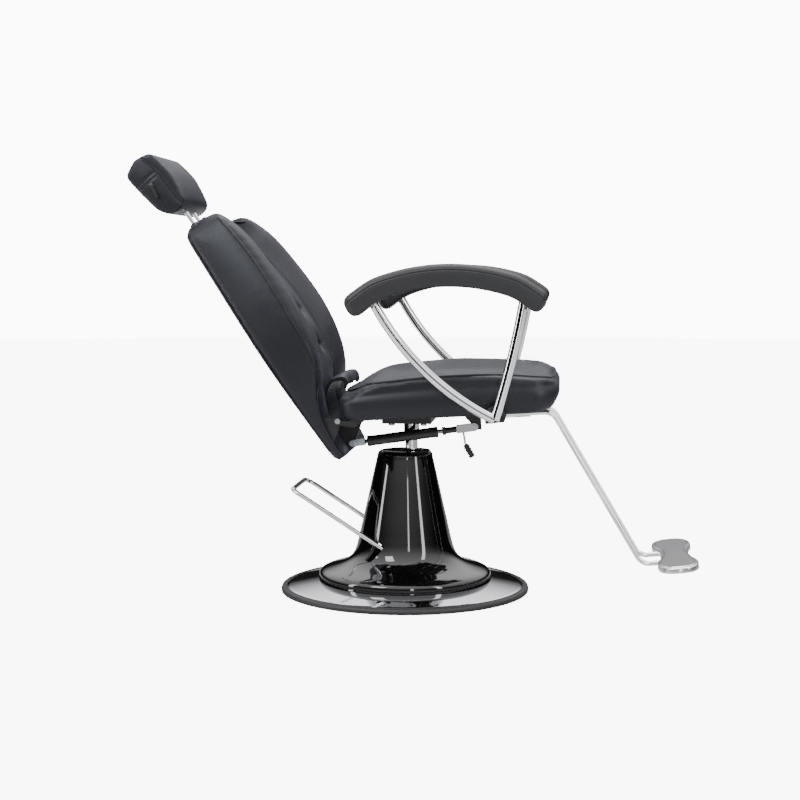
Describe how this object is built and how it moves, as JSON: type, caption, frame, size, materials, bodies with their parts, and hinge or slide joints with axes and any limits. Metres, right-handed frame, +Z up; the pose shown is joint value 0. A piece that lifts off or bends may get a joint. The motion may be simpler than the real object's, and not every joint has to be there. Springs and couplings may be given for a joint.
{
  "type": "barber chair",
  "caption": "Hydraulic barber chair with round base, pump pedal, swivel seat, reclining tufted back, sliding headrest, curved arm rests and footrest.",
  "frame": {"origin": "centre of the base disc on the floor", "axes": "+X towards the sitter's front (footrest side), +Z up, +Y to the sitter's left; seat at its lowest height, back fully reclined"},
  "size_m": [1.3369, 0.6748, 1.0427],
  "materials": {
    "vinyl": "smooth upholstery leather-cloth, soft sheen",
    "arm_pu": "self-skinned polyurethane, matte",
    "rubber": "satin moulded rubber",
    "cover_gloss": "high-gloss moulded cover",
    "chrome": "polished chrome plate",
    "steel": "machined steel",
    "zinc": "bright zinc plate",
    "black_steel": "satin black paint",
    "wood": "plywood",
    "cast_grey": "painted iron casting",
    "bronze": "bearing bronze",
    "plate_alu": "polished cast aluminium"
  },
  "bodies": {
    "base": {"floor_plate": "steel", "base_dome": "chrome", "base_trim_ring": "rubber", "column_cover": "cover_gloss", "pump_flange": "cast_grey", "pump_bolts": "zinc", "pump_reservoir": "cast_grey", "pump_cylinder": "steel", "gland_cap": "cast_grey", "rod_bush": "bronze", "rod_wiper": "rubber", "filler_plug": "zinc", "pedal_pins": "zinc", "plunger_housing": "cast_grey"},
    "pedal": {"foot_pedal": "chrome", "pedal_yoke": "steel"},
    "plunger": {"pump_plunger": "chrome"},
    "piston": {"piston_head": "steel", "piston_seal": "rubber"},
    "seat": {"piston_rod": "chrome", "rod_hub": "chrome", "seat_plate": "black_steel", "seat_plate_bolts": "zinc", "seat_rails": "black_steel", "hinge_crossbar": "black_steel", "arm_crossbar": "black_steel", "seat_board": "wood", "seat_cushion": "vinyl", "arm_rear_tube_right": "chrome", "arm_rear_tube_left": "chrome", "arm_front_tube_right": "chrome", "arm_front_tube_left": "chrome", "arm_pad_right": "arm_pu", "arm_pad_left": "arm_pu", "frame_bolts": "zinc", "footrest_sockets": "chrome", "socket_screws": "chrome", "strut_bracket": "black_steel", "strut_front_pin": "chrome", "hinge_bolts": "zinc"},
    "release": {"release_lever": "chrome", "release_paddle": "rubber"},
    "strut_rod": {"strut_rod": "chrome", "strut_fork": "chrome", "strut_nut": "black_steel"},
    "strut_cylinder": {"strut_cylinder": "black_steel", "strut_clevis": "zinc", "strut_rear_pin": "zinc"},
    "backrest": {"back_board": "wood", "back_panel": "vinyl", "back_cushion": "vinyl", "back_hinge_plates": "black_steel", "strut_lug": "black_steel", "headrest_sleeves": "black_steel", "gap_flap": "vinyl"},
    "headrest": {"headrest_posts": "chrome", "headrest_core": "wood", "headrest_cushion": "vinyl"},
    "footrest": {"footrest_rods": "chrome", "footrest_plate": "plate_alu"}
  },
  "joints": [
    {"name": "lift", "type": "slide", "parent": "base", "child": "piston", "axis": [0, 0, 1], "range_m": [0, 0.15]},
    {"name": "swivel", "type": "hinge", "parent": "piston", "child": "seat", "pos_m": [0.016, 0, 0.3], "axis": [0, 0, 1], "continuous": true},
    {"name": "recline", "type": "hinge", "parent": "seat", "child": "backrest", "pos_m": [-0.13305, 0, 0.42802], "axis": [0, 1, 0], "range_deg": [0, 26], "deforming": ["gap_flap"]},
    {"name": "headrest_slide", "type": "slide", "parent": "backrest", "child": "headrest", "axis": [-0.565, 0, 0.8251], "range_m": [-0.02, 0.05]},
    {"name": "strut_pivot", "type": "hinge", "parent": "seat", "child": "strut_rod", "pos_m": [0.17116, -0.06, 0.40298], "axis": [0, 1, 0], "range_deg": [0, 0.742]},
    {"name": "strut_slide", "type": "slide", "parent": "strut_rod", "child": "strut_cylinder", "axis": [-0.9897, 0, -0.1431], "range_m": [0, 0.03099]},
    {"name": "release", "type": "hinge", "parent": "strut_rod", "child": "release", "pos_m": [0.14402, -0.06, 0.39501], "axis": [0, 1, 0], "range_deg": [-18, 18], "stiffness_Nm_per_rad": 0.3},
    {"name": "pedal", "type": "hinge", "parent": "base", "child": "pedal", "pos_m": [0.02, 0, 0.072], "axis": [0, -1, 0], "range_deg": [0, 22], "stiffness_Nm_per_rad": 25, "springref_deg": -17.19},
    {"name": "plunger", "type": "slide", "parent": "base", "child": "plunger", "axis": [0, 0, 1], "range_m": [0, 0.0252]},
    {"name": "footrest_slide", "type": "slide", "parent": "seat", "child": "footrest", "axis": [0.9983, 0, 0.0576], "range_m": [-0.02, 0.03]}
  ],
  "couplings": [
    {"joint": "strut_pivot", "follows": "recline", "ratio": 0.0266},
    {"joint": "strut_slide", "follows": "recline", "m_per_rad": 0.0672},
    {"joint": "plunger", "follows": "pedal", "m_per_rad": 0.065}
  ]
}
